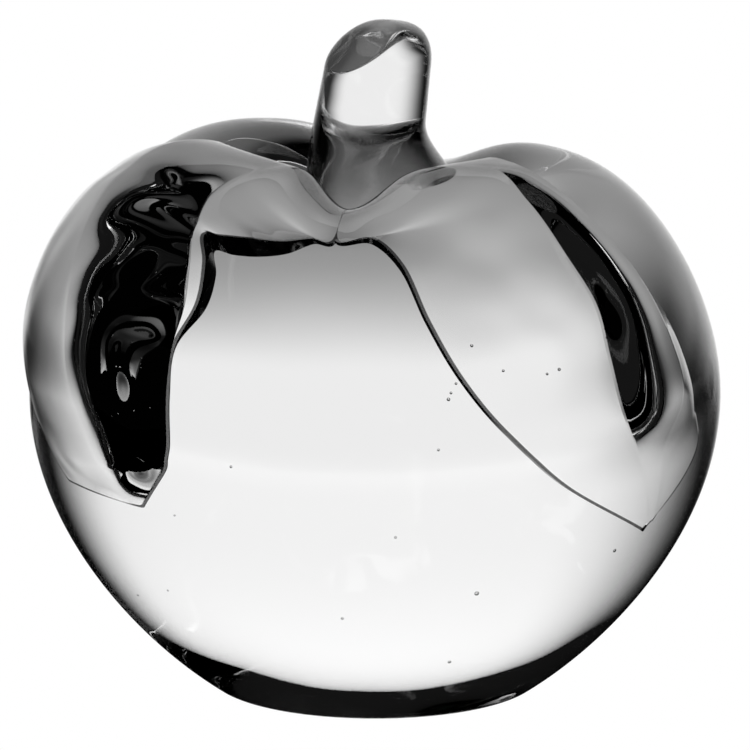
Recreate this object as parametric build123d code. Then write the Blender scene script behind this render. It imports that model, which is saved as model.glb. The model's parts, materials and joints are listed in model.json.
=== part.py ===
"""Solid glass apple paperweight in millimetres: body, stem and two applied leaves.

The origin is the centre of the ground foot and +Z is up. The leaves lie on the front, which faces -Y.
A place on the apple is a turn, in degrees to the right of its front, and a climb along its outline:
0 at the rim of the foot, 1 at the equator, 2 on the crest of the shoulder and 3 in the hollow.
"""

import os
from collections import namedtuple
from math import cos, pi, radians, sin

from build123d import *

# Body: the heights and radii of its outline, and how far the curve keeps its direction at each
foot_radius = 22.8
flank_angle = 33.3
flank_reach = 14.6
body_radius = 49.0
equator_height = 42.0
equator_reach_below = 17.7
equator_reach_above = 16.0
crest_radius = 26.0
crest_height = 73.6
crest_reach_out = 10.8
crest_reach_in = 9.0
hollow_radius = 4.0
hollow_height = 62.0
hollow_reach = 9.0
crest_tilt = 1.2
full_turn = 360.0
ring_points = 30
rings_per_curve = 7

# Swellings of the shoulder, and a dip behind the stem: place, height and half widths
left_lobe_swell = 3.7
right_lobe_swell = 1.2
crest_dip = 4.2
Lobe = namedtuple("Lobe", "turn climb swell half_turn half_climb")
lobes = (
    Lobe(turn=-133.0, climb=1.82, swell=left_lobe_swell, half_turn=72.0, half_climb=0.78),
    Lobe(turn=112.0, climb=1.78, swell=right_lobe_swell, half_turn=55.0, half_climb=0.78),
    Lobe(turn=166.0, climb=2.0, swell=-crest_dip, half_turn=45.0, half_climb=0.7),
)

# Leaves: four lines from root to tip, with the rise above the skin as a share of the leaf's thickness.
# Across the blade, a shelf runs from the inner edge to the foot of a bulging wall, which climbs to the ridge.
# At the seam, a hairline parts the roots of the two leaves.
leaf_thickness = 10.0
leaf_seam_turn = -9.0
leaf_seam_gap = 1.2
leaf_bed_depth = 2.0
leaf_columns = 21
Spot = namedtuple("Spot", "turn climb rise")
left_seam = leaf_seam_turn - leaf_seam_gap / 2
right_seam = leaf_seam_turn + leaf_seam_gap / 2
Leaf = namedtuple("Leaf", "rows foot_share ridge_share bulge fall_power inner_edge wall_foot ridge outer_edge")
left_leaf = Leaf(
    rows=46,
    foot_share=0.15,
    ridge_share=0.58,
    bulge=2.2,
    fall_power=1.1,
    inner_edge=(
        Spot(left_seam, 2.45, 0.10), Spot(left_seam, 2.10, 0.10), Spot(left_seam, 1.755, 0.10),
        Spot(-14.0, 1.735, 0.11), Spot(-19.0, 1.68, 0.26), Spot(-25.0, 1.655, 0.40),
        Spot(-31.0, 1.65, 0.42), Spot(-36.0, 1.655, 0.36), Spot(-32.8, 1.56, 0.34), Spot(-32.2, 1.44, 0.22),
        Spot(-36.0, 1.31, 0.12), Spot(-35.4, 1.17, 0.10), Spot(-34.6, 1.04, 0.10), Spot(-35.0, 0.985, 0.10),
        Spot(-35.8, 0.945, 0.10), Spot(-41.0, 0.84, 0.10),
    ),
    wall_foot=(
        Spot(-27.0, 2.45, 0.12), Spot(-28.0, 2.12, 0.54), Spot(-33.0, 1.97, 0.58), Spot(-37.0, 1.87, 0.54),
        Spot(-39.0, 1.80, 0.50), Spot(-39.0, 1.75, 0.47), Spot(-38.5, 1.70, 0.44), Spot(-38.5, 1.65, 0.38),
        Spot(-36.0, 1.55, 0.34), Spot(-34.6, 1.43, 0.24), Spot(-36.4, 1.31, 0.14), Spot(-35.8, 1.17, 0.12),
        Spot(-35.0, 1.04, 0.12), Spot(-35.4, 0.985, 0.12), Spot(-36.2, 0.945, 0.12), Spot(-41.4, 0.84, 0.11),
    ),
    ridge=(
        Spot(-60.0, 2.45, 0.12), Spot(-62.0, 2.12, 0.60), Spot(-62.0, 1.97, 0.76), Spot(-61.0, 1.87, 0.86),
        Spot(-59.5, 1.80, 0.92), Spot(-58.0, 1.74, 0.96), Spot(-56.5, 1.67, 1.04), Spot(-55.0, 1.59, 1.07),
        Spot(-53.0, 1.49, 1.09), Spot(-50.5, 1.38, 1.09), Spot(-48.5, 1.28, 1.07), Spot(-46.5, 1.17, 0.99),
        Spot(-44.0, 1.06, 0.82), Spot(-42.5, 0.99, 0.70), Spot(-42.0, 0.955, 0.58), Spot(-46.0, 0.845, 0.12),
    ),
    outer_edge=(
        Spot(-122.0, 2.45, 0.10), Spot(-114.0, 2.15, 0.10), Spot(-109.0, 1.97, 0.10), Spot(-106.0, 1.86, 0.10),
        Spot(-103.0, 1.78, 0.10), Spot(-101.0, 1.70, 0.10), Spot(-99.0, 1.62, 0.10), Spot(-97.0, 1.54, 0.10),
        Spot(-94.5, 1.45, 0.10), Spot(-91.5, 1.35, 0.10), Spot(-87.0, 1.24, 0.10), Spot(-80.0, 1.13, 0.10),
        Spot(-73.0, 1.02, 0.10), Spot(-68.5, 0.965, 0.10), Spot(-66.0, 0.93, 0.10), Spot(-61.0, 0.855, 0.10),
    ),
)
right_leaf = Leaf(
    rows=41,
    foot_share=0.42,
    ridge_share=0.68,
    bulge=3.4,
    fall_power=0.95,
    inner_edge=(
        Spot(right_seam, 2.45, 0.10), Spot(right_seam, 2.10, 0.10), Spot(right_seam, 1.755, 0.10),
        Spot(-1.0, 1.745, 0.12), Spot(5.0, 1.62, 0.14), Spot(9.0, 1.42, 0.13), Spot(14.0, 1.24, 0.13),
        Spot(21.0, 1.08, 0.14), Spot(31.5, 0.92, 0.16), Spot(50.5, 0.752, 0.12),
    ),
    wall_foot=(
        Spot(13.0, 2.45, 0.12), Spot(14.0, 2.12, 0.54), Spot(32.5, 1.95, 0.63), Spot(35.8, 1.78, 0.47),
        Spot(38.2, 1.58, 0.32), Spot(40.4, 1.41, 0.28), Spot(40.4, 1.26, 0.24), Spot(41.4, 1.12, 0.22),
        Spot(44.4, 0.99, 0.22), Spot(51.5, 0.765, 0.11),
    ),
    ridge=(
        Spot(42.0, 2.45, 0.12), Spot(42.0, 2.12, 0.58), Spot(40.5, 1.95, 0.65), Spot(41.5, 1.77, 0.70),
        Spot(44.0, 1.59, 0.75), Spot(46.0, 1.42, 0.82), Spot(47.5, 1.27, 0.84), Spot(49.0, 1.13, 0.74),
        Spot(50.0, 0.98, 0.26), Spot(53.0, 0.775, 0.10),
    ),
    outer_edge=(
        Spot(60.0, 2.45, 0.10), Spot(56.0, 2.14, 0.10), Spot(52.0, 1.93, 0.10), Spot(53.0, 1.73, 0.10),
        Spot(57.0, 1.53, 0.10), Spot(60.0, 1.35, 0.10), Spot(62.0, 1.20, 0.10), Spot(63.5, 1.06, 0.10),
        Spot(64.5, 0.93, 0.10), Spot(54.5, 0.785, 0.10),
    ),
)

# Stem: sideways place, radius and height of its root, neck and shoulder, then the dome and its slanting cut
root_depth = 2.0
root_inset = 13.4
root_shift = 2.6
root_reach = 13.0
neck_shift = -0.75
neck_radius = 7.9
neck_height = 81.0
neck_reach = 5.0
shoulder_shift = 0.35
shoulder_radius = 7.5
shoulder_height = 88.6
dome_height = 6.5
dome_fullness = 0.6
dome_end_angle = 84.0
shear_height = 94.4
shear_rise_right = 0.67
shear_rise_back = 0.49
root_rings = 8
shaft_rings = 3
dome_rings = 7


def bezier(start, leave, arrive, end, share):
    """Point of a cubic curve, at a share of the way from start to end."""
    rest = 1 - share
    return start * rest**3 + leave * 3 * rest**2 * share + arrive * 3 * rest * share**2 + end * share**3


def hump(distance, half_width):
    """1 in the middle of a swelling, falling smoothly to 0 at its half width."""
    if abs(distance) >= half_width:
        return 0.0
    return (0.5 + 0.5 * cos(pi * distance / half_width)) ** 1.5


def ease(share):
    """A smooth rise from 0 to 1."""
    share = min(max(share, 0.0), 1.0)
    return share * share * (3 - 2 * share)


def ramp(value, start, end):
    """A straight rise from 0 to 1 while a value goes from start to end."""
    return min(max((value - start) / (end - start), 0.0), 1.0)


# The outline in radius and height: flank, shoulder and hollow
foot_rim = Vector(foot_radius, 0)
equator = Vector(body_radius, equator_height)
crest = Vector(crest_radius, crest_height)
hollow = Vector(hollow_radius, hollow_height)
flank_heading = Vector(cos(radians(flank_angle)), sin(radians(flank_angle)))
outline = (
    (foot_rim, foot_rim + flank_heading * flank_reach, equator - Vector(0, equator_reach_below), equator),
    (equator, equator + Vector(0, equator_reach_above), crest + Vector(crest_reach_out, 0), crest),
    (crest, crest - Vector(crest_reach_in, 0), hollow + Vector(hollow_reach, 0), hollow),
)


def outline_point(climb):
    """Radius and height of the plain round outline."""
    curve = min(int(climb), len(outline) - 1)
    return bezier(*outline[curve], climb - curve)


def apple_point(turn, climb, lift=0.0):
    """A point that stands lift above the apple's skin."""
    probe = 0.002
    along = outline_point(min(climb + probe, len(outline))) - outline_point(max(climb - probe, 0))
    outward = Vector(along.Y, -along.X).normalized()
    swell = 0.0
    for lobe in lobes:
        apart = (turn - lobe.turn + full_turn / 2) % full_turn - full_turn / 2
        swell += lobe.swell * hump(apart, lobe.half_turn) * hump(climb - lobe.climb, lobe.half_climb)
    spot = outline_point(climb) + outward * (swell + lift)
    tilt = crest_tilt * cos(radians(turn)) * hump(climb - 2, 1)
    return Vector(spot.X * sin(radians(turn)), -spot.X * cos(radians(turn)), spot.Y - tilt)


def ring_wire(place):
    """Closed smooth ring through the points that place gives at evenly spread turns."""
    turns = [full_turn * step / ring_points for step in range(ring_points)]
    return Wire([Edge.make_spline([place(turn) for turn in turns], periodic=True)])


def make_body():
    """The gather of clear glass, ground flat underneath."""
    climbs = [step / rings_per_curve for step in range(rings_per_curve * len(outline) + 1)]
    return Solid.make_loft([ring_wire(lambda turn: apple_point(turn, climb)) for climb in climbs])


def between(row, share):
    """Spot between neighbouring spots of a row, on a smooth curve through all of them."""
    reach = share * (len(row) - 1)
    index = min(int(reach), len(row) - 2)
    near, far = row[index], row[index + 1]
    before = row[max(index - 1, 0)]
    after = row[min(index + 2, len(row) - 1)]
    part = reach - index
    values = []
    for a, b, c, d in zip(before, near, far, after):
        pull_in = part * (1 - part) ** 2 * (c - a) / 2
        pull_out = part**2 * (1 - part) * (d - b) / 2
        values.append(b + (c - b) * ease(part) + pull_in - pull_out)
    return Spot(*values)


def blade_spot(leaf, along, across):
    """Place and rise of a blade: shelf, bulging wall, ridge and fall to the outer edge."""
    inner, foot, ridge, outer = (between(line, along) for line in leaf[-4:])
    shelf = ramp(across, 0, leaf.foot_share)
    wall = ramp(across, leaf.foot_share, leaf.ridge_share)
    fall = ramp(across, leaf.ridge_share, 1)
    shares = Spot(
        turn=(shelf, wall, fall),
        climb=(shelf, wall, fall),
        rise=(ease(shelf), 1 - (1 - wall) ** leaf.bulge, fall**leaf.fall_power),
    )
    lines = zip(inner, foot, ridge, outer, shares)
    return Spot(*(a + (b - a) * ab + (c - b) * bc + (d - c) * cd for a, b, c, d, (ab, bc, cd) in lines))


def blade_face(leaf, bedded):
    """Smooth face over a blade's top, or over its underside bedded in the apple's skin."""
    rows = [row / (leaf.rows - 1) for row in range(leaf.rows)]
    columns = [column / (leaf_columns - 1) for column in range(leaf_columns)]
    grid = [[blade_spot(leaf, along, across) for across in columns] for along in rows]
    points = []
    for row in grid:
        lifts = [-leaf_bed_depth if bedded else leaf_thickness * spot.rise for spot in row]
        points.append([apple_point(spot.turn, spot.climb, lift) for spot, lift in zip(row, lifts)])
    return Face.make_surface_from_array_of_points(points)


def make_leaf(leaf, body):
    """A leaf pressed on to the body, with the body's skin as its underside."""
    top = blade_face(leaf, bedded=False)
    bed = blade_face(leaf, bedded=True)
    faces = [top, bed]
    for upper in top.edges():
        lower = min(bed.edges(), key=lambda edge: (edge.center() - upper.center()).length)
        faces.append(Face.make_surface_from_curves(upper, lower))
    return Solid(Shell(faces)) - body


# The stem's levels as sideways place, radius and height
root = Vector(root_shift, crest_radius - root_inset, hollow_height - root_depth)
neck = Vector(neck_shift, neck_radius, neck_height)
shoulder = Vector(shoulder_shift, shoulder_radius, shoulder_height)
lean = (shoulder - neck).normalized()


def root_level(share):
    """Level of the spreading root, up to the neck."""
    return bezier(root, root + Vector(0, 0, root_reach), neck - lean * neck_reach, neck, share)


def dome_level(angle):
    """Level of the dome, which closes over the shoulder."""
    rise = dome_height * sin(angle)
    radius = shoulder.Y * cos(angle) ** dome_fullness
    return Vector(shoulder.X + lean.X / lean.Z * rise, radius, shoulder.Z + rise)


def stem_ring(level):
    """Level ring of the stem."""

    def place(turn):
        bearing = radians(turn)
        return Vector(level.X + level.Y * sin(bearing), -level.Y * cos(bearing), level.Z)

    return ring_wire(place)


def make_stem():
    """Stem with a spreading root and a rounded top, sheared off at a slant."""
    levels = [root_level(step / root_rings) for step in range(root_rings + 1)]
    levels += [neck + (shoulder - neck) * (step / shaft_rings) for step in range(1, shaft_rings)]
    levels += [dome_level(radians(dome_end_angle) * step / dome_rings) for step in range(dome_rings + 1)]
    shear = Plane(origin=(0, 0, shear_height), z_dir=(-shear_rise_right, -shear_rise_back, 1))
    return Solid.make_loft([stem_ring(level) for level in levels]).split(shear, keep=Keep.BOTTOM)


apple_body = make_body()
left = make_leaf(left_leaf, apple_body)
right = make_leaf(right_leaf, apple_body)
stem = make_stem() - apple_body - left - right

os.makedirs("parts", exist_ok=True)
pieces = {"apple_body": apple_body, "stem": stem, "left_leaf": left, "right_leaf": right}
for name, piece in pieces.items():
    export_step(piece, f"parts/{name}.step")
    print(name, "volume", round(piece.volume), "mm3, box", piece.bounding_box())
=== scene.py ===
# %% [markdown]
# This is a solid glass apple: a paperweight of clear glass, with a stem and two leaves put on while hot.
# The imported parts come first. They fix where everything is, and every piece below is modelled in the same
# frame: in metres, with the foot on the ground and the front of the apple towards -Y.

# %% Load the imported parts
import json
from collections import namedtuple
from math import cos, pi, radians, sin

import bmesh
import bpy
import numpy as np
from mathutils import Matrix, Vector

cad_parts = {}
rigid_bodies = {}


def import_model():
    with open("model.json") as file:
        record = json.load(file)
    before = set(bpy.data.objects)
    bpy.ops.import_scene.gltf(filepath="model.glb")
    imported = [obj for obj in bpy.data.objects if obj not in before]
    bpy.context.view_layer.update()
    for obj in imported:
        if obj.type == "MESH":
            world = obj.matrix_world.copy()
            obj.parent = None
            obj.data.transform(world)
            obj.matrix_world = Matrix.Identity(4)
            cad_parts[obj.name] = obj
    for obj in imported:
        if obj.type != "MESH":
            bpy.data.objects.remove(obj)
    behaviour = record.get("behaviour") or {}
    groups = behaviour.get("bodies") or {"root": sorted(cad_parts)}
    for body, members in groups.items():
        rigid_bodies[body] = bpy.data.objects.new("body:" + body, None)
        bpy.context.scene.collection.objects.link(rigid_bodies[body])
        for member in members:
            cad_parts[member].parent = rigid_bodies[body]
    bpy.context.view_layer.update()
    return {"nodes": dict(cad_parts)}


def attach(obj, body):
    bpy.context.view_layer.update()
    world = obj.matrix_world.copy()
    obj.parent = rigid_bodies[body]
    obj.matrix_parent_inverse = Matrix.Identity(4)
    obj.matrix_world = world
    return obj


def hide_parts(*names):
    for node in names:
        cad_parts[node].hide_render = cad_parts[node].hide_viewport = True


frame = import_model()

scene = bpy.context.scene
print("parts:", sorted(frame["nodes"]))

# %% [markdown]
# The skin of the apple is the shape that everything else sits on, so it is written once, as a formula. A
# drawn curve that is spun would give the same round form, but the leaves and the bubbles need places on
# the skin too, and a formula gives those. The climb along the outline is 0 at the rim of the foot, 1 at
# the equator, 2 on the crest of the shoulder and 3 in the hollow. Each stretch between them is one smooth
# curve.

# %% The outline of the apple, in millimetres
foot_radius = 22.8
flank_angle = 33.3
flank_reach = 14.6
body_radius = 49.0
equator_height = 42.0
equator_reach_below = 17.7
equator_reach_above = 16.0
crest_radius = 26.0
crest_height = 73.6
crest_reach_out = 10.8
crest_reach_in = 9.0
hollow_radius = 4.0
hollow_height = 62.0
hollow_reach = 9.0

foot_rim = np.array((foot_radius, 0))
equator = np.array((body_radius, equator_height))
crest = np.array((crest_radius, crest_height))
hollow = np.array((hollow_radius, hollow_height))
flank_heading = np.array((cos(radians(flank_angle)), sin(radians(flank_angle))))
outline = (
    (foot_rim, foot_rim + flank_heading * flank_reach, equator - (0, equator_reach_below), equator),
    (equator, equator + (0, equator_reach_above), crest + (crest_reach_out, 0), crest),
    (crest, crest - (crest_reach_in, 0), hollow + (hollow_reach, 0), hollow),
)


def bezier(start, leave, arrive, end, share):
    """Points of a cubic curve, at shares of the way from start to end."""
    share = share[:, None]
    rest = 1 - share
    return start * rest**3 + leave * 3 * rest**2 * share + arrive * 3 * rest * share**2 + end * share**3


def outline_point(climb):
    """Radius and height of the plain round outline."""
    curve = np.clip(climb.astype(int), 0, len(outline) - 1)
    spots = np.zeros((len(climb), 2))
    for index, corners in enumerate(outline):
        here = curve == index
        spots[here] = bezier(*corners, climb[here] - index)
    return spots


print("radius and height at climbs 0 to 3:", outline_point(np.arange(4.0)).round(1).tolist())

# %% [markdown]
# An apple made by hand is not quite round. Two swellings of the shoulder show behind the stem, with a dip
# between them, and the crest stands a little lower at the front. They could be sculpted, but glass shows
# every dent, so each is a soft hump that is added to the outline. A place on the skin is then a turn, in
# degrees to the right of the front, and a climb. It can also be lifted off the skin, which is how the
# leaves get thick.

# %% Swellings of the shoulder
mm = 0.001
crest_tilt = 1.2
hump_power = 1.5
outline_probe = 0.002
Lobe = namedtuple("Lobe", "turn climb swell half_turn half_climb")
lobes = (
    Lobe(turn=-133.0, climb=1.82, swell=3.7, half_turn=72.0, half_climb=0.78),
    Lobe(turn=112.0, climb=1.78, swell=1.2, half_turn=55.0, half_climb=0.78),
    Lobe(turn=166.0, climb=2.0, swell=-4.2, half_turn=45.0, half_climb=0.7),
)


def hump(distance, half_width):
    """1 in the middle of a swelling, falling smoothly to 0 at its half width."""
    return (0.5 + 0.5 * np.cos(pi * np.clip(distance / half_width, -1, 1))) ** hump_power


def lobe_swell(lobe, turn, climb):
    """How far one swelling pushes the skin out."""
    turn_away = (turn - lobe.turn + 180) % 360 - 180
    return lobe.swell * hump(turn_away, lobe.half_turn) * hump(climb - lobe.climb, lobe.half_climb)


def skin_outward(climb):
    """Directions square to the outline, out of the glass."""
    ahead = outline_point(np.minimum(climb + outline_probe, len(outline)))
    behind = outline_point(np.maximum(climb - outline_probe, 0))
    along = ahead - behind
    outward = np.stack((along[:, 1], -along[:, 0]), axis=1)
    return outward / np.linalg.norm(outward, axis=1)[:, None]


def apple_point(turn, climb, lift):
    """Points in metres that stand lift millimetres above the apple's skin."""
    swell = lift + sum(lobe_swell(lobe, turn, climb) for lobe in lobes)
    radius, height = (outline_point(climb) + skin_outward(climb) * swell[:, None]).T
    angle = np.radians(turn)
    tilt = crest_tilt * np.cos(angle) * hump(climb - 2, 1)
    return np.stack((radius * np.sin(angle), -radius * np.cos(angle), height - tilt), axis=1) * mm


front_and_back = apple_point(np.array((0.0, 180.0)), np.full(2, 2.0), np.zeros(2))
print("crest at the front and at the back:", front_and_back.round(4).tolist())

# %% [markdown]
# The body is one solid gather of glass. A spin of the outline would leave the swellings out, so a flat
# grid is wrapped round the axis on the formula instead: its two side edges are merged, and the open rings
# at the foot and in the hollow are filled. Fine rings matter in glass, because every facet is a lens.

# %% Wrap the body
body_rows = 200
body_columns = 300
merge_distance = 1e-7


def grid_spots(bm):
    """Places of the points of a grid, as shares across and along it, and their levels."""
    across, along, level = np.array([vert.co for vert in bm.verts]).T
    return across + 0.5, along + 0.5, level


def bend(bm, points):
    """Move every point of a grid, in order, and shade its faces as one smooth skin."""
    for vert, point in zip(bm.verts, points):
        vert.co = point
    for face in bm.faces:
        face.smooth = True


def wrap_grid(columns, rows, place):
    """A grid wrapped round the upright axis, with its open rings filled."""
    bm = bmesh.new()
    bmesh.ops.create_grid(bm, x_segments=columns, y_segments=rows, size=0.5)
    across, along, _ = grid_spots(bm)
    bend(bm, place(across * 360 - 180, along))
    rim = [vert for vert in bm.verts if vert.is_boundary]
    bmesh.ops.remove_doubles(bm, verts=rim, dist=merge_distance)
    bmesh.ops.holes_fill(bm, edges=[edge for edge in bm.edges if edge.is_boundary], sides=0)
    return bm


def body_point(turn, along):
    """Points of the body, from its foot over the crest and into the hollow."""
    return apple_point(turn, along * len(outline), np.zeros_like(turn))


body_form = wrap_grid(body_columns, body_rows, body_point)
print("body:", len(body_form.faces), "faces")

# %% [markdown]
# The foot was ground flat, and the grinding leaves a narrow rounded rim round it. The filled ring at the
# foot is the lowest face of the body, so its edges are the rim, and a bevel rounds them. The body is then
# kept as a blank: a piece that still has to be welded to its neighbours.

# %% Round the rim of the foot
foot_bevel = 0.7


def keep_piece(name, bm):
    """Turn a bmesh into an object at the origin, with its faces pointing outwards."""
    bmesh.ops.recalc_face_normals(bm, faces=bm.faces)
    mesh = bpy.data.meshes.new(name)
    bm.to_mesh(mesh)
    bm.free()
    piece = bpy.data.objects.new(name, mesh)
    scene.collection.objects.link(piece)
    return piece


foot = min(body_form.faces, key=lambda face: face.calc_center_median().z)
bmesh.ops.bevel(body_form, geom=foot.edges[:], offset=foot_bevel * mm, offset_type="OFFSET", segments=4,
                profile=0.5, affect="EDGES", material=-1)
body_blank = keep_piece("body_blank", body_form)
print("body with its rounded rim:", len(body_blank.data.polygons), "faces")

# %% [markdown]
# Each leaf is a bit of hot glass that was laid over the shoulder and tooled: a thin shelf along its inner
# edge, a wall that bulges up to a ridge, and a fall to its outer edge. It could be sculpted too, but four
# lines on the apple's skin say the same with few numbers. Each line runs from the root beside the stem to
# the tip. A spot on it is a turn, a climb and a rise, which is a share of the leaf's thickness.

# %% Lines of the left leaf
Spot = namedtuple("Spot", "turn climb rise")
Leaf = namedtuple("Leaf", "foot_share ridge_share bulge fall_power inner_edge wall_foot ridge outer_edge")
left_leaf = Leaf(
    foot_share=0.15,
    ridge_share=0.58,
    bulge=2.2,
    fall_power=1.1,
    inner_edge=(
        Spot(-8.7, 2.45, 0.05), Spot(-8.7, 2.10, 0.05), Spot(-8.7, 1.755, 0.05), Spot(-14.0, 1.735, 0.11),
        Spot(-19.0, 1.68, 0.26), Spot(-25.0, 1.655, 0.40), Spot(-31.0, 1.65, 0.42), Spot(-36.0, 1.655, 0.36),
        Spot(-32.8, 1.56, 0.34), Spot(-32.2, 1.44, 0.22), Spot(-36.0, 1.31, 0.03), Spot(-35.4, 1.17, 0.02),
        Spot(-34.6, 1.04, 0.02), Spot(-35.0, 0.985, 0.02), Spot(-35.8, 0.945, 0.02), Spot(-41.0, 0.84, 0.02),
    ),
    wall_foot=(
        Spot(-27.0, 2.45, 0.12), Spot(-28.0, 2.12, 0.54), Spot(-33.0, 1.97, 0.58), Spot(-37.0, 1.87, 0.54),
        Spot(-39.0, 1.80, 0.50), Spot(-39.0, 1.75, 0.47), Spot(-38.5, 1.70, 0.44), Spot(-38.5, 1.65, 0.38),
        Spot(-36.0, 1.55, 0.34), Spot(-34.6, 1.43, 0.24), Spot(-36.4, 1.31, 0.05), Spot(-35.8, 1.17, 0.04),
        Spot(-35.0, 1.04, 0.04), Spot(-35.4, 0.985, 0.04), Spot(-36.2, 0.945, 0.04), Spot(-41.4, 0.84, 0.03),
    ),
    ridge=(
        Spot(-60.0, 2.45, 0.12), Spot(-62.0, 2.12, 0.60), Spot(-62.0, 1.97, 0.76), Spot(-61.0, 1.87, 0.86),
        Spot(-59.5, 1.80, 0.92), Spot(-58.0, 1.74, 0.96), Spot(-56.5, 1.67, 1.04), Spot(-55.0, 1.59, 1.07),
        Spot(-53.0, 1.49, 1.09), Spot(-50.5, 1.38, 1.09), Spot(-48.5, 1.28, 1.07), Spot(-46.5, 1.17, 0.99),
        Spot(-44.0, 1.06, 0.82), Spot(-42.5, 0.99, 0.70), Spot(-42.0, 0.955, 0.58), Spot(-46.0, 0.845, 0.04),
    ),
    outer_edge=(
        Spot(-122, 2.45, 0.06), Spot(-114, 2.15, 0.06), Spot(-109, 1.97, 0.06), Spot(-106, 1.86, 0.06),
        Spot(-103.0, 1.78, 0.06), Spot(-101.0, 1.70, 0.06), Spot(-99.0, 1.62, 0.06), Spot(-97.0, 1.54, 0.06),
        Spot(-94.5, 1.45, 0.06), Spot(-91.5, 1.35, 0.06), Spot(-87.0, 1.24, 0.06), Spot(-80.0, 1.13, 0.06),
        Spot(-73.0, 1.02, 0.06), Spot(-68.5, 0.965, 0.06), Spot(-66.0, 0.93, 0.06), Spot(-61.0, 0.855, 0.03),
    ),
)
print("left leaf:", len(left_leaf.ridge), "spots on each line")

# %% [markdown]
# The right leaf is drawn in the same way. Its shelf is a wide thin blade that reaches far across the
# front, and its ridge lies towards its outside, so its shares across differ from the left one's.

# %% Lines of the right leaf
right_leaf = Leaf(
    foot_share=0.42,
    ridge_share=0.68,
    bulge=3.4,
    fall_power=0.95,
    inner_edge=(
        Spot(-9.3, 2.45, 0.05), Spot(-9.3, 2.10, 0.05), Spot(-9.3, 1.755, 0.05), Spot(-1.0, 1.745, 0.12),
        Spot(5.0, 1.62, 0.14), Spot(9.0, 1.42, 0.13), Spot(14.0, 1.24, 0.13), Spot(21.0, 1.08, 0.14),
        Spot(31.5, 0.92, 0.16), Spot(50.5, 0.752, 0.12),
    ),
    wall_foot=(
        Spot(13.0, 2.45, 0.12), Spot(14.0, 2.12, 0.54), Spot(32.5, 1.95, 0.63), Spot(35.8, 1.78, 0.47),
        Spot(38.2, 1.58, 0.32), Spot(40.4, 1.41, 0.28), Spot(40.4, 1.26, 0.24), Spot(41.4, 1.12, 0.22),
        Spot(44.4, 0.99, 0.22), Spot(51.5, 0.765, 0.11),
    ),
    ridge=(
        Spot(42.0, 2.45, 0.12), Spot(42.0, 2.12, 0.58), Spot(40.5, 1.95, 0.65), Spot(41.5, 1.77, 0.70),
        Spot(44.0, 1.59, 0.75), Spot(46.0, 1.42, 0.82), Spot(47.5, 1.27, 0.84), Spot(49.0, 1.13, 0.74),
        Spot(50.0, 0.98, 0.26), Spot(53.0, 0.775, 0.10),
    ),
    outer_edge=(
        Spot(60.0, 2.45, 0.06), Spot(56.0, 2.14, 0.06), Spot(52.0, 1.93, 0.06), Spot(53.0, 1.73, 0.06),
        Spot(57.0, 1.53, 0.06), Spot(60.0, 1.35, 0.06), Spot(62.0, 1.20, 0.06), Spot(63.5, 1.06, 0.06),
        Spot(64.5, 0.93, 0.06), Spot(54.5, 0.785, 0.06),
    ),
)
print("right leaf:", len(right_leaf.ridge), "spots on each line")

# %% [markdown]
# A share along the leaf and a share across it have to become a point. Straight stretches between the
# spots would show as creases in the glass, so a smooth curve runs through the spots of each line, and an
# eased profile goes across the four lines. A leaf's shares say how far across it the wall begins and ends,
# and its bulge and fall power bend the wall and the fall.

# %% Points of a blade
leaf_thickness = 10.0
leaf_bed_depth = 0.05


def ease(share):
    """A smooth rise from 0 to 1."""
    share = np.clip(share, 0, 1)
    return share * share * (3 - 2 * share)


def between(line, share):
    """Spots at shares of the way along a line, on a smooth curve through all that it has."""
    table = np.array(line)
    reach = share * (len(table) - 1)
    index = np.clip(reach.astype(int), 0, len(table) - 2)
    part = (reach - index)[:, None]
    near, far = table[index], table[index + 1]
    pull_in = (far - table[np.maximum(index - 1, 0)]) / 2
    pull_out = (table[np.minimum(index + 2, len(table) - 1)] - near) / 2
    values = near + (far - near) * ease(part)
    values += part * (1 - part) ** 2 * pull_in
    values -= part**2 * (1 - part) * pull_out
    return Spot(*values.T)


def cross_lines(values, shares):
    """Go from the first line's value to the last one's, by a share of each step."""
    value = values[0]
    for near, far, share in zip(values, values[1:], shares):
        value = value + (far - near) * share
    return value


def blade_spot(leaf, along, across):
    """Turn, climb and rise of a blade: shelf, bulging wall, ridge and fall to the outer edge."""
    lines = (leaf.inner_edge, leaf.wall_foot, leaf.ridge, leaf.outer_edge)
    turns, climbs, rises = zip(*(between(line, along) for line in lines))
    shelf = np.clip(across / leaf.foot_share, 0, 1)
    wall = np.clip((across - leaf.foot_share) / (leaf.ridge_share - leaf.foot_share), 0, 1)
    fall = np.clip((across - leaf.ridge_share) / (1 - leaf.ridge_share), 0, 1)
    profile = (ease(shelf), 1 - (1 - wall) ** leaf.bulge, fall**leaf.fall_power)
    return Spot(
        turn=cross_lines(turns, (shelf, wall, fall)),
        climb=cross_lines(climbs, (shelf, wall, fall)),
        rise=cross_lines(rises, profile),
    )


def blade_point(leaf, along, across, bedded):
    """Points of a blade's top, or of its underside bedded in the apple's skin."""
    spot = blade_spot(leaf, along, across)
    return apple_point(spot.turn, spot.climb, np.where(bedded, -leaf_bed_depth, leaf_thickness * spot.rise))


for leaf in (left_leaf, right_leaf):
    print("ridge stands", max(spot.rise for spot in leaf.ridge) * leaf_thickness, "mm above the skin")

# %% [markdown]
# A leaf is bent from a flat grid. The grid is extruded once before it is bent, so that a closed slab goes
# over the shoulder and not an open sheet, and its underside is bedded just below the skin. The painted
# shade along the leaf's rim will need to know how far each point is from the rim, so that distance goes
# into a UV map while the grid is at hand.

# %% Slabs for the leaves
leaf_rows = 190
leaf_columns = 130
rim_unit = 0.01


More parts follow.
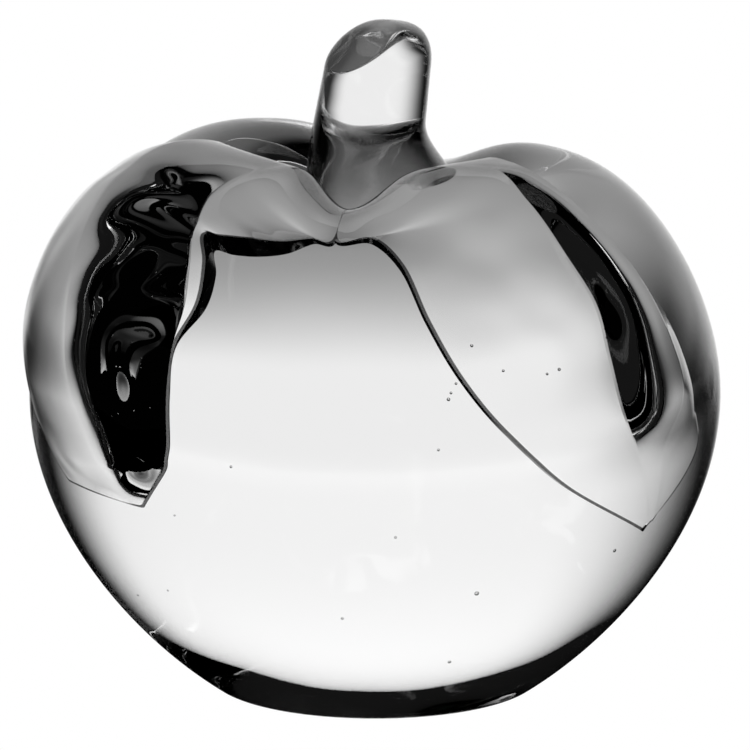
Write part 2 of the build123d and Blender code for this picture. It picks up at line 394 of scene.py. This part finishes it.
def make_slab():
    """A flat grid with a second one below it, closed all round."""
    bm = bmesh.new()
    bmesh.ops.create_grid(bm, x_segments=leaf_columns, y_segments=leaf_rows, size=0.5)
    bed = bmesh.ops.extrude_face_region(bm, geom=bm.faces[:], use_keep_orig=True)
    bed_verts = [item for item in bed["geom"] if isinstance(item, bmesh.types.BMVert)]
    bmesh.ops.translate(bm, verts=bed_verts, vec=(0, 0, -1))
    return bm


def map_rim(bm, leaf, along, across):
    """Write each point's distance from the rim, in rim units, and its share along the leaf in a UV map."""
    spots = blade_point(leaf, along, across, bedded=True)
    inner = blade_point(leaf, along, np.zeros_like(across), bedded=True)
    outer = blade_point(leaf, along, np.ones_like(across), bedded=True)
    tip = blade_point(leaf, np.ones_like(along), across, bedded=True)
    away = [np.linalg.norm(spots - rim, axis=1) for rim in (inner, outer, tip)]
    places = np.stack((np.min(away, axis=0) / rim_unit, along), axis=1)
    rim_map = bm.loops.layers.uv.new("rim")
    bm.verts.index_update()
    for face in bm.faces:
        for loop in face.loops:
            loop[rim_map].uv = places[loop.vert.index]


def bend_slab(leaf):
    """A slab bent over the apple's skin along the lines of a leaf."""
    bm = make_slab()
    across, along, level = grid_spots(bm)
    map_rim(bm, leaf, along, across)
    bend(bm, blade_point(leaf, along, across, bedded=level < -0.5))
    return bm


left_form = bend_slab(left_leaf)
right_form = bend_slab(right_leaf)
print("leaves:", len(left_form.faces), "and", len(right_form.faces), "faces")

# %% [markdown]
# The roots of the leaves were pressed together in front of the stem, and they meet in one upright seam.
# The bent slabs reach a little past it, so a plane cuts each one off there, and the cut is filled and
# marked for the weld finish. Cutting one leaf by the other would do as well, but a plane keeps the seam
# straight.

# %% Cut the seam between the leaves
leaf_seam_turn = -9.0
weld_slot = 1


def cut_seam(bm, side):
    """Cut a leaf off at the seam plane and close the cut."""
    seam_normal = Matrix.Rotation(radians(leaf_seam_turn), 3, "Z") @ Vector((side, 0, 0))
    bmesh.ops.bisect_plane(bm, geom=bm.verts[:] + bm.edges[:] + bm.faces[:], plane_co=(0, 0, 0),
                           plane_no=seam_normal, clear_inner=True)
    seam = bmesh.ops.edgeloop_fill(bm, edges=[edge for edge in bm.edges if edge.is_boundary])
    for face in seam["faces"]:
        face.material_index = weld_slot


cut_seam(left_form, side=-1)
left_blank = keep_piece("left_leaf_blank", left_form)
cut_seam(right_form, side=1)
right_blank = keep_piece("right_leaf_blank", right_form)
print("leaves past the seam:", len(left_blank.data.polygons), "and", len(right_blank.data.polygons), "faces")

# %% [markdown]
# The stem is a second, smaller gather: a root that spreads into the hollow, a shaft that leans, and a
# round top that was sheared off at a slant while it was soft. Three levels give its shape, each with a
# shift to the right, a radius and a height.

# %% Levels of the stem, in millimetres
root_inset = 13.4
root_shift = 2.6
root_depth = 2.0
neck_shift = -0.75
neck_radius = 7.9
neck_height = 81.0
shoulder_shift = 0.35
shoulder_radius = 7.5
shoulder_height = 88.6

root = np.array((root_shift, crest_radius - root_inset, hollow_height - root_depth))
neck = np.array((neck_shift, neck_radius, neck_height))
shoulder = np.array((shoulder_shift, shoulder_radius, shoulder_height))
lean = (shoulder - neck) / np.linalg.norm(shoulder - neck)
print("shift, radius and height of the stem's levels:", [level.tolist() for level in (root, neck, shoulder)])

# %% [markdown]
# The stem is wrapped from a grid as the body is, with its levels shifted sideways. A bisect would give
# the slanting cut a hard edge, which soft glass never has. So the points above the cutting plane are
# pressed down on to it instead, and those close to it a little more, which rounds the edge.

# %% Wrap the stem
stem_rows = 180
stem_columns = 200
root_reach = 13.0
neck_reach = 5.0
neck_share = 0.45
shoulder_share = 0.65
dome_height = 6.5
dome_fullness = 0.6
dome_end_angle = 89.0
shear_height = 94.4
shear_rise_right = 0.67
shear_rise_back = 0.49
shear_rounding = 1.4


def ramp(value, start, end):
    """A straight rise from 0 to 1 while a value goes from start to end."""
    return np.clip((value - start) / (end - start), 0, 1)


def shear_off(x, y, height):
    """Heights pressed down on to the slanting plane of the shears, with a rounded edge."""
    plane = shear_height + shear_rise_right * x + shear_rise_back * y
    blend = np.clip(1 - abs(height - plane) / shear_rounding, 0, 1)
    return np.minimum(height, plane) - shear_rounding * blend**2 / 4


def stem_point(turn, along):
    """Points of the stem: up its spreading root, along its shaft, then over its dome."""
    climb = ramp(along, 0, neck_share)
    level = bezier(root, root + (0, 0, root_reach), neck - lean * neck_reach, neck, climb)
    level += (shoulder - neck) * ramp(along, neck_share, shoulder_share)[:, None]
    shift, radius, height = level.T
    dome_angle = ramp(along, shoulder_share, 1) * radians(dome_end_angle)
    shift = shift + dome_height * np.sin(dome_angle) * lean[0] / lean[2]
    radius = radius * np.cos(dome_angle) ** dome_fullness
    height = height + dome_height * np.sin(dome_angle)
    angle = np.radians(turn)
    x = shift + radius * np.sin(angle)
    y = -radius * np.cos(angle)
    return np.stack((x, y, shear_off(x, y, height)), axis=1) * mm


stem_blank = keep_piece("stem_blank", wrap_grid(stem_columns, stem_rows, stem_point))
stem_top = max(vert.co.z for vert in stem_blank.data.vertices)
print("stem:", len(stem_blank.data.polygons), "faces, top at", round(stem_top / mm, 1), "mm")

# %% [markdown]
# A material is a tree of nodes, and placing nodes one by one is hard to read. So a Value wraps one socket
# and takes part in sums, which add the Math nodes, and a Recipe makes every other node from its type, its
# settings and the values or links of its inputs.

# %% Sums of shader values
class Value:
    """A shader socket that takes part in Python sums."""

    def __init__(self, recipe, socket):
        self.recipe = recipe
        self.socket = socket

    def __add__(self, other):
        return self.recipe.math("ADD", self, other)

    __radd__ = __add__

    def __mul__(self, other):
        return self.recipe.math("MULTIPLY", self, other)

    __rmul__ = __mul__

    def __sub__(self, other):
        return self.recipe.math("SUBTRACT", self, other)

    def __rsub__(self, other):
        return self.recipe.math("SUBTRACT", other, self)


class Recipe:
    """The node tree of one material or of the world."""

    def __init__(self, owner):
        owner.use_nodes = True
        self.tree = owner.node_tree
        self.tree.nodes.clear()

    def add(self, kind, settings=None, inputs=None, output=0):
        """Add a node, set its settings, then fill its sockets with values or links."""
        node = self.tree.nodes.new(kind)
        for name, value in (settings or {}).items():
            setattr(node, name, value)
        for name, value in (inputs or {}).items():
            if isinstance(value, Value):
                self.tree.links.new(value.socket, node.inputs[name])
            else:
                node.inputs[name].default_value = value
        return Value(self, node.outputs[output]) if node.outputs else node

    def math(self, operation, first, second):
        """One Math node on two values."""
        return self.add("ShaderNodeMath", {"operation": operation}, {0: first, 1: second})


print("shader values take +, - and *")

# %% [markdown]
# Clear glass is a Principled shader with full transmission. Two things make it look made by hand. A
# soft noise in a Bump node waves the skin: waves in the mesh would need far more faces to stay smooth.
# The ground foot is scuffed where it rested on tables. And the tight rounding of a leaf's rim bends the
# light away, so a dark line of painted shade goes into the leaf's colour there, from the rim's distance
# in the UV map.

# %% Clear glass
glass_ior = 1.47
glass_tone = 0.98
wave_detail = 1.0
scuff_scale = 900.0
scuff_detail = 3.0
scuff_height = 0.0012
scuff_roughness = 0.3
# Painted shade: a dark line along the leaf's rim, where its tight rounding bends the light away.
rim_shade_tone = 0.02
rim_core_share = 0.8


def scuffs(recipe, place):
    """Roughness of fine marks that fade out just above the ground."""
    height = recipe.add("ShaderNodeSeparateXYZ", inputs={0: place}, output="Z")
    low = recipe.add("ShaderNodeMapRange", inputs={
        "Value": height, "From Min": 0.0, "From Max": scuff_height, "To Min": 1.0, "To Max": 0.0})
    marks = recipe.add("ShaderNodeTexNoise", inputs={
        "Vector": place, "Scale": scuff_scale, "Detail": scuff_detail})
    return low * marks * scuff_roughness


def rim_painted_shade(recipe, rim_width):
    """Painted shade: nearly black along a leaf's rim, where the rounding bends light away, and clear
    elsewhere.
    """
    rim_map = recipe.add("ShaderNodeUVMap", {"uv_map": "rim"})
    away = recipe.add("ShaderNodeSeparateXYZ", inputs={0: rim_map}, output="X")
    tone = recipe.add("ShaderNodeMapRange", inputs={
        "Value": away, "From Min": rim_width * rim_core_share, "From Max": rim_width,
        "To Min": rim_shade_tone, "To Max": glass_tone})
    return recipe.add("ShaderNodeCombineColor", inputs={"Red": tone, "Green": tone, "Blue": tone})


def make_glass(name, wave_scale, wave_depth, rim_width=0.0):
    """Clear glass with a waving skin, scuffs where it rests, and painted shade along rims that have a width.
    """
    material = bpy.data.materials.new(name)
    recipe = Recipe(material)
    place = recipe.add("ShaderNodeTexCoord", output="Object")
    waves = recipe.add("ShaderNodeTexNoise", inputs={
        "Vector": place, "Scale": wave_scale, "Detail": wave_detail})
    skin = recipe.add("ShaderNodeBump", inputs={"Strength": 1.0, "Distance": wave_depth, "Height": waves})
    clear = (glass_tone, glass_tone, glass_tone, 1)
    shader = recipe.add("ShaderNodeBsdfPrincipled", inputs={
        "Base Color": rim_painted_shade(recipe, rim_width) if rim_width else clear,
        "Roughness": scuffs(recipe, place), "Normal": skin, "IOR": glass_ior, "Transmission Weight": 1.0})
    recipe.add("ShaderNodeOutputMaterial", inputs={"Surface": shader})
    return material


body_glass = make_glass("body_glass", wave_scale=45.0, wave_depth=0.0003)
stem_glass = make_glass("stem_glass", wave_scale=160.0, wave_depth=0.00008)
# The leaf glass carries the painted shade along its rims.
leaf_glass = make_glass("leaf_glass", wave_scale=70.0, wave_depth=0.0015, rim_width=0.055)
for glass in (body_glass, stem_glass, leaf_glass):
    print(glass.name, len(glass.node_tree.nodes), "nodes")

# %% [markdown]
# Glass that is fused while hot is one piece of glass: light crosses the joint as if it were not there.
# Two closed meshes that touch would bend and mirror the light at the joint. Joining them into one mesh
# would avoid that, but the pieces stay separate, so the faces that touch get a weld finish that lets
# light straight through.

# %% Weld finish
def make_weld(name):
    """A finish that light does not notice."""
    material = bpy.data.materials.new(name)
    recipe = Recipe(material)
    shader = recipe.add("ShaderNodeBsdfPrincipled", inputs={"Base Color": (1, 1, 1, 1), "Alpha": 0.0})
    recipe.add("ShaderNodeOutputMaterial", inputs={"Surface": shader})
    return material


weld = make_weld("weld_joint")
print(weld.name, len(weld.node_tree.nodes), "nodes")

# %% [markdown]
# The faces that touch have to be found first. A Boolean cuts each piece back to its neighbours, and the
# faces of the cut take over the cutter's finish, which is the weld. What two pieces share is left out of
# both, and no light is bent there, because it has weld faces on both sides. Picking the faces by hand
# would break with the next change of a line. Edges where faces meet steeply are then marked as sharp, so
# that the shading is not smoothed across them.

# %% Cut the pieces back to their joints
sharp_angle = 28.0


def copy_piece(name, blank, glass):
    """A piece made from its blank, with its glass first and the weld finish second."""
    piece = bpy.data.objects.new(name, blank.data.copy())
    scene.collection.objects.link(piece)
    piece.data.materials.append(glass)
    piece.data.materials.append(weld)
    return piece


def cut_by(piece, neighbour):
    """Cut a piece back to its neighbour, with the weld finish on the cut."""
    tool = bpy.data.objects.new("cutter", neighbour.data.copy())
    scene.collection.objects.link(tool)
    tool.data.materials.clear()
    tool.data.materials.append(weld)
    tool.data.polygons.foreach_set("material_index", [0] * len(tool.data.polygons))
    modifier = piece.modifiers.new("cut", "BOOLEAN")
    modifier.operation = "DIFFERENCE"
    modifier.solver = "MANIFOLD"
    modifier.material_mode = "TRANSFER"
    modifier.object = tool
    piece.data = bpy.data.meshes.new_from_object(piece.evaluated_get(bpy.context.evaluated_depsgraph_get()))
    piece.modifiers.remove(modifier)
    bpy.data.objects.remove(tool)


blanks = {"apple_body": body_blank, "stem": stem_blank, "left_leaf": left_blank, "right_leaf": right_blank}
glasses = {"apple_body": body_glass, "stem": stem_glass, "left_leaf": leaf_glass, "right_leaf": leaf_glass}
meetings = {
    "apple_body": ("stem", "left_leaf", "right_leaf"),
    "stem": ("apple_body", "left_leaf", "right_leaf"),
    "left_leaf": ("apple_body", "stem"),
    "right_leaf": ("apple_body", "stem"),
}
pieces = {}
for node, neighbours in meetings.items():
    piece = copy_piece("glass_" + node, blanks[node], glasses[node])
    for neighbour in neighbours:
        cut_by(piece, blanks[neighbour])
    piece.data.name = piece.name
    piece.data.set_sharp_from_angle(angle=radians(sharp_angle))
    pieces[node] = piece
    welded = sum(face.material_index == weld_slot for face in piece.data.polygons)
    print(piece.name, len(piece.data.polygons), "faces,", welded, "of them welded")
for blank in blanks.values():
    bpy.data.objects.remove(blank)

# %% [markdown]
# Small round seeds of air were caught when the glass was gathered. A bubble is a hole in the glass, so
# each one is a small icosphere in the body's own mesh, with its faces turned to look into the air that it
# holds. Spots painted on the skin would stay flat, and would not bend the light as a bubble does.

# %% Seed bubbles
Seed = namedtuple("Seed", "turn climb radius")
seed_depth = 3.0
seeds = (
    Seed(47.5, 1.325, 0.22), Seed(18.0, 0.312, 0.26), Seed(12.5, 1.193, 0.26), Seed(13.0, 1.212, 0.20),
    Seed(49.0, 0.670, 0.28), Seed(19.5, 0.590, 0.34), Seed(14.0, 1.240, 0.20), Seed(31.0, 1.245, 0.20),
    Seed(17.5, 1.353, 0.24), Seed(-6.5, 0.510, 0.22), Seed(22.5, 1.269, 0.20), Seed(3.5, 0.788, 0.20),
    Seed(48.0, 1.353, 0.30), Seed(-24.5, 0.976, 0.20), Seed(-44.5, 0.548, 0.16), Seed(-56.5, 0.496, 0.18),
    Seed(-36.5, 0.812, 0.16), Seed(33.5, 1.254, 0.22), Seed(10.5, 1.042, 0.20), Seed(-7.0, 0.166, 0.18),
)


def blow_seeds(piece):
    """Hollow small round bubbles out of the glass, a little below its skin."""
    bm = bmesh.new()
    bm.from_mesh(piece.data)
    turns, climbs, _ = np.array(seeds).T
    centres = apple_point(turns, climbs, np.full(len(seeds), -seed_depth))
    for seed, centre in zip(seeds, centres):
        ball = bmesh.ops.create_icosphere(bm, subdivisions=2, radius=seed.radius * mm,
                                          matrix=Matrix.Translation(centre))
        shell = list({face for vert in ball["verts"] for face in vert.link_faces})
        bmesh.ops.reverse_faces(bm, faces=shell)
        for face in shell:
            face.smooth = True
    bm.to_mesh(piece.data)
    bm.free()


blow_seeds(pieces["apple_body"])
print("seed bubbles:", len(seeds))

# %% [markdown]
# Each finished piece stands for one imported part. Nothing on the apple moves, so all four ride on the root
# body.

# %% Ride on the frame
for node, piece in pieces.items():
    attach(piece, "root")
    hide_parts(node)

# %% [markdown]
# The photograph looks at the apple from a little above, through a long lens, so that the far side is
# hardly smaller than the near one. The camera stands well back for that, and its lens follows from the
# width of what it has to show at that distance.

# %% Camera
camera_elevation = radians(12.0)
camera_distance = 0.9
camera_target = Vector((0, 0, 0.0444))
view_width = 0.1064
sensor_width = 36.0
camera_data = bpy.data.cameras.new("camera")
camera_data.sensor_width = sensor_width
camera_data.lens = sensor_width * camera_distance / view_width
camera = bpy.data.objects.new("camera", camera_data)
scene.collection.objects.link(camera)
heading = Vector((0, -cos(camera_elevation), sin(camera_elevation)))
camera.location = camera_target + heading * camera_distance
camera.rotation_euler = heading.to_track_quat("Z", "Y").to_euler()
scene.camera = camera
print("lens of", round(camera_data.lens), "mm at", camera_distance, "m")

# %% [markdown]
# Clear glass shows nothing but its surroundings, and a solid ball of it shows them swapped left for
# right. The set is a sweep of glowing paper with dark sides, because dark sides are what draws the outline
# of glass on a white ground, and it is darker close round the foot with the apple's painted shadow. Lamps
# could light the paper, but they would leave bright shapes in the glass. The camera itself sees plain
# white paper, and the shades show only through the glass and in its shine. Each fade runs along a
# bearing, which is 0 straight behind the apple and grows to the right, or along a distance or a height
# in metres.

# %% Shades of the paper
Fade = namedtuple("Fade", "start end low high")
backdrop_right = Fade(radians(34), radians(62), 1.0, 0.0)
backdrop_left = Fade(radians(-65), radians(-19), 0.0, 1.0)
floor_right = Fade(radians(16), radians(40), 1.0, 0.04)
floor_left = Fade(radians(-30), radians(-7), 0.04, 1.0)
right_spread = Fade(0.15, 0.45, 1.0, 0.72)
left_spread = Fade(0.14, 0.4, 1.0, 0.5)
floor_to_backdrop = Fade(0.0, 0.14, 0.0, 1.0)
# The apple's painted shadow on the paper: darker close round the foot.
foot_shade = Fade(0.06, 0.10, 0.08, 0.36)
near_shade = Fade(0.095, 0.175, 0.0, 0.64)
far_glow = Fade(0.35, 1.2, 0.92, 1.0)
low_dip = Fade(0.0, 0.06, 0.0, -0.03)
high_glow = Fade(0.12, 0.9, 0.0, 0.22)


def shade(recipe, value, fade):
    """A smooth change from low to high while a value goes from start to end."""
    return recipe.add("ShaderNodeMapRange", {"interpolation_type": "SMOOTHSTEP"}, {
        "Value": value, "From Min": fade.start, "From Max": fade.end,
        "To Min": fade.low, "To Max": fade.high})


def paper_glow(recipe, place):
    """Paper brightness: even behind the apple, dark at its sides, and painted shadow close round the foot.
    """
    x, y, z = (recipe.add("ShaderNodeSeparateXYZ", inputs={0: place}, output=axis) for axis in "XYZ")
    bearing = recipe.math("ARCTAN2", x, y)
    away = recipe.add("ShaderNodeVectorMath", {"operation": "LENGTH"}, {0: place}, output="Value")
    wide = shade(recipe, bearing, backdrop_right) * shade(recipe, bearing, backdrop_left)
    narrow_right = shade(recipe, bearing * shade(recipe, away, right_spread), floor_right)
    narrow_left = shade(recipe, bearing * shade(recipe, away, left_spread), floor_left)
    raised = shade(recipe, z, floor_to_backdrop)
    sides = wide * (1 - (1 - narrow_right * narrow_left) * (1 - raised))
    # Painted shadow of the apple, darker close round the foot.
    near = shade(recipe, away, foot_shade) + shade(recipe, away, near_shade)
    level = shade(recipe, away, far_glow) + shade(recipe, z, low_dip) + shade(recipe, z, high_glow)
    return sides * near * level


def make_paper(name):
    """Paper that glows plain white for the camera, and in its shades for the glass."""
    material = bpy.data.materials.new(name)
    recipe = Recipe(material)
    place = recipe.add("ShaderNodeTexCoord", output="Object")
    seen = recipe.add("ShaderNodeLightPath", output="Is Camera Ray")
    shaded = recipe.add("ShaderNodeEmission", inputs={"Color": paper_glow(recipe, place), "Strength": 1.0})
    plain = recipe.add("ShaderNodeEmission", inputs={"Color": (1, 1, 1, 1), "Strength": 1.0})
    surface = recipe.add("ShaderNodeMixShader", inputs={0: seen, 1: shaded, 2: plain})
    recipe.add("ShaderNodeOutputMaterial", inputs={"Surface": surface})
    return material


paper = make_paper("sweep_paper")
print(paper.name, len(paper.node_tree.nodes), "nodes")

# %% [markdown]
# The paper lies on the floor and stands round the back of the apple. The floor is a grid of one face, and
# one upright edge, spun part of the way round, makes the backdrop. Both are on a turntable that follows
# the camera, so that the apple has the same light from every side, as it would if it were turned by hand
# in front of the paper.

# %% Floor and backdrop on a turntable
floor_reach = 3.0
floor_gap = 0.0002
backdrop_radius = 1.2
backdrop_half_angle = 70.0
backdrop_height = 2.2
backdrop_steps = 48


def make_floor():
    """A flat sheet of paper just below the foot."""
    bm = bmesh.new()
    bmesh.ops.create_grid(bm, x_segments=1, y_segments=1, size=floor_reach)
    bmesh.ops.translate(bm, verts=bm.verts, vec=(0, 0, -floor_gap))
    return keep_piece("floor", bm)


def make_backdrop():
    """A curved sheet of paper that stands behind the apple."""
    bm = bmesh.new()
    start = Matrix.Rotation(radians(-backdrop_half_angle), 3, "Z") @ Vector((0, backdrop_radius, -floor_gap))
    low = bm.verts.new(start)
    high = bm.verts.new(start + Vector((0, 0, backdrop_height)))
    edge = bm.edges.new((low, high))
    bmesh.ops.spin(bm, geom=[low, high, edge], cent=(0, 0, 0), axis=(0, 0, 1), dvec=(0, 0, 0),
                   angle=radians(2 * backdrop_half_angle), steps=backdrop_steps, use_merge=False,
                   use_duplicate=False)
    return keep_piece("backdrop", bm)


turntable = bpy.data.objects.new("turntable", None)
scene.collection.objects.link(turntable)
follow = turntable.constraints.new("LOCKED_TRACK")
follow.target = camera
follow.track_axis = "TRACK_NEGATIVE_Y"
follow.lock_axis = "LOCK_Z"
for item in (make_floor(), make_backdrop()):
    item.data.materials.append(paper)
    item.parent = turntable
    print(item.name, len(item.data.polygons), "faces")

# %% [markdown]
# Past the paper lies the room, which is nearly black for the glass and white for the camera, as the paper
# is. Light is bent and mirrored many times inside solid glass and passes many welds, so its paths need
# many bounces before they end. The Standard view keeps white paper white, where a film-like view would
# turn it grey.

# %% The room and the paths of light
room_glow = 0.008
glass_bounces = 32
shine_bounces = 4
world = bpy.data.worlds.new("studio")
scene.world = world
room = Recipe(world)
seen = room.add("ShaderNodeLightPath", output="Is Camera Ray")
dark = room.add("ShaderNodeBackground", inputs={"Color": (1, 1, 1, 1), "Strength": room_glow})
white = room.add("ShaderNodeBackground", inputs={"Color": (1, 1, 1, 1), "Strength": 1.0})
surround = room.add("ShaderNodeMixShader", inputs={0: seen, 1: dark, 2: white})
room.add("ShaderNodeOutputWorld", inputs={"Surface": surround})
scene.view_settings.view_transform = "Standard"
scene.cycles.max_bounces = glass_bounces
scene.cycles.transmission_bounces = glass_bounces
scene.cycles.glossy_bounces = shine_bounces
scene.cycles.transparent_max_bounces = glass_bounces
print("room:", len(world.node_tree.nodes), "nodes,", glass_bounces, "bounces in the glass")
